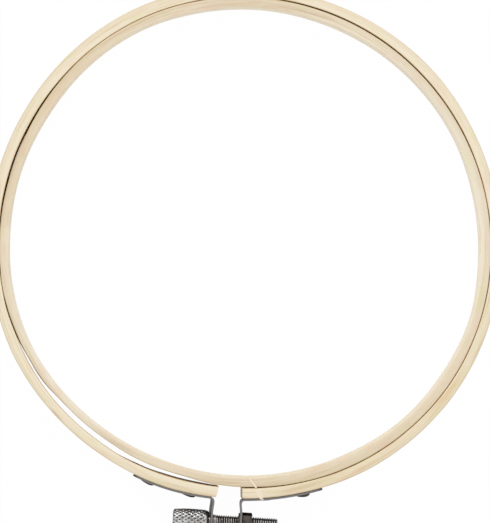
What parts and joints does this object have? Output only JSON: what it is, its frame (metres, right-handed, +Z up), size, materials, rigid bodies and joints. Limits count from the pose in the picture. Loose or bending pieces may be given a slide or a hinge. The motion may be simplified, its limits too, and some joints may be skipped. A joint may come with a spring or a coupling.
{
  "type": "embroidery hoop",
  "caption": "Round bamboo embroidery hoop: a closed inner ring nested in a split outer ring that a knurled thumb screw draws together across riveted steel brackets.",
  "frame": {"origin": "middle of the whole part's box in X and Y, on the plane that both rings rest on; the rings' own middle is 5.66 mm from it towards +Y and 0.18 mm towards -X", "axes": "+Z up through the hoop, square to its plane; the clamp is on the -Y side, and its screw runs along X with the knob at -X"},
  "size_m": [0.1572, 0.1682, 0.0095],
  "materials": {
    "inner_bamboo": "sanded, unvarnished",
    "outer_bamboo": "sanded, unvarnished",
    "bracket_steel": "plated, slightly dull",
    "rivet_steel": "plated, slightly dull",
    "screw_steel": "knurled and plated",
    "nut_steel": "dark plated"
  },
  "bodies": {
    "outer_hoop": {"outer_ring": "outer_bamboo", "right_bracket": "bracket_steel", "right_rivet_near": "rivet_steel", "right_rivet_far": "rivet_steel", "clamp_nut": "nut_steel"},
    "inner_hoop": {"inner_ring": "inner_bamboo"},
    "left_end": {"left_bracket": "bracket_steel", "left_rivet_near": "rivet_steel", "left_rivet_far": "rivet_steel"},
    "screw": {"thumb_screw": "screw_steel"}
  },
  "joints": [
    {"name": "inner_ring_lift", "type": "slide", "parent": "outer_hoop", "child": "inner_hoop", "axis": [0, 0, 1], "range_m": [0, 0.03]},
    {"name": "split_closing", "type": "slide", "parent": "outer_hoop", "child": "left_end", "axis": [1, 0, 0], "range_m": [-0.0075, 0.0005], "deforming": ["outer_ring"]},
    {"name": "screw_turn", "type": "hinge", "parent": "left_end", "child": "screw", "pos_m": [0, -0.08014, 0.00475], "axis": [1, 0, 0], "range_deg": [-3857.2, 257.2]}
  ],
  "couplings": [
    {"joint": "screw_turn", "follows": "split_closing", "rad_per_m": 8976}
  ]
}
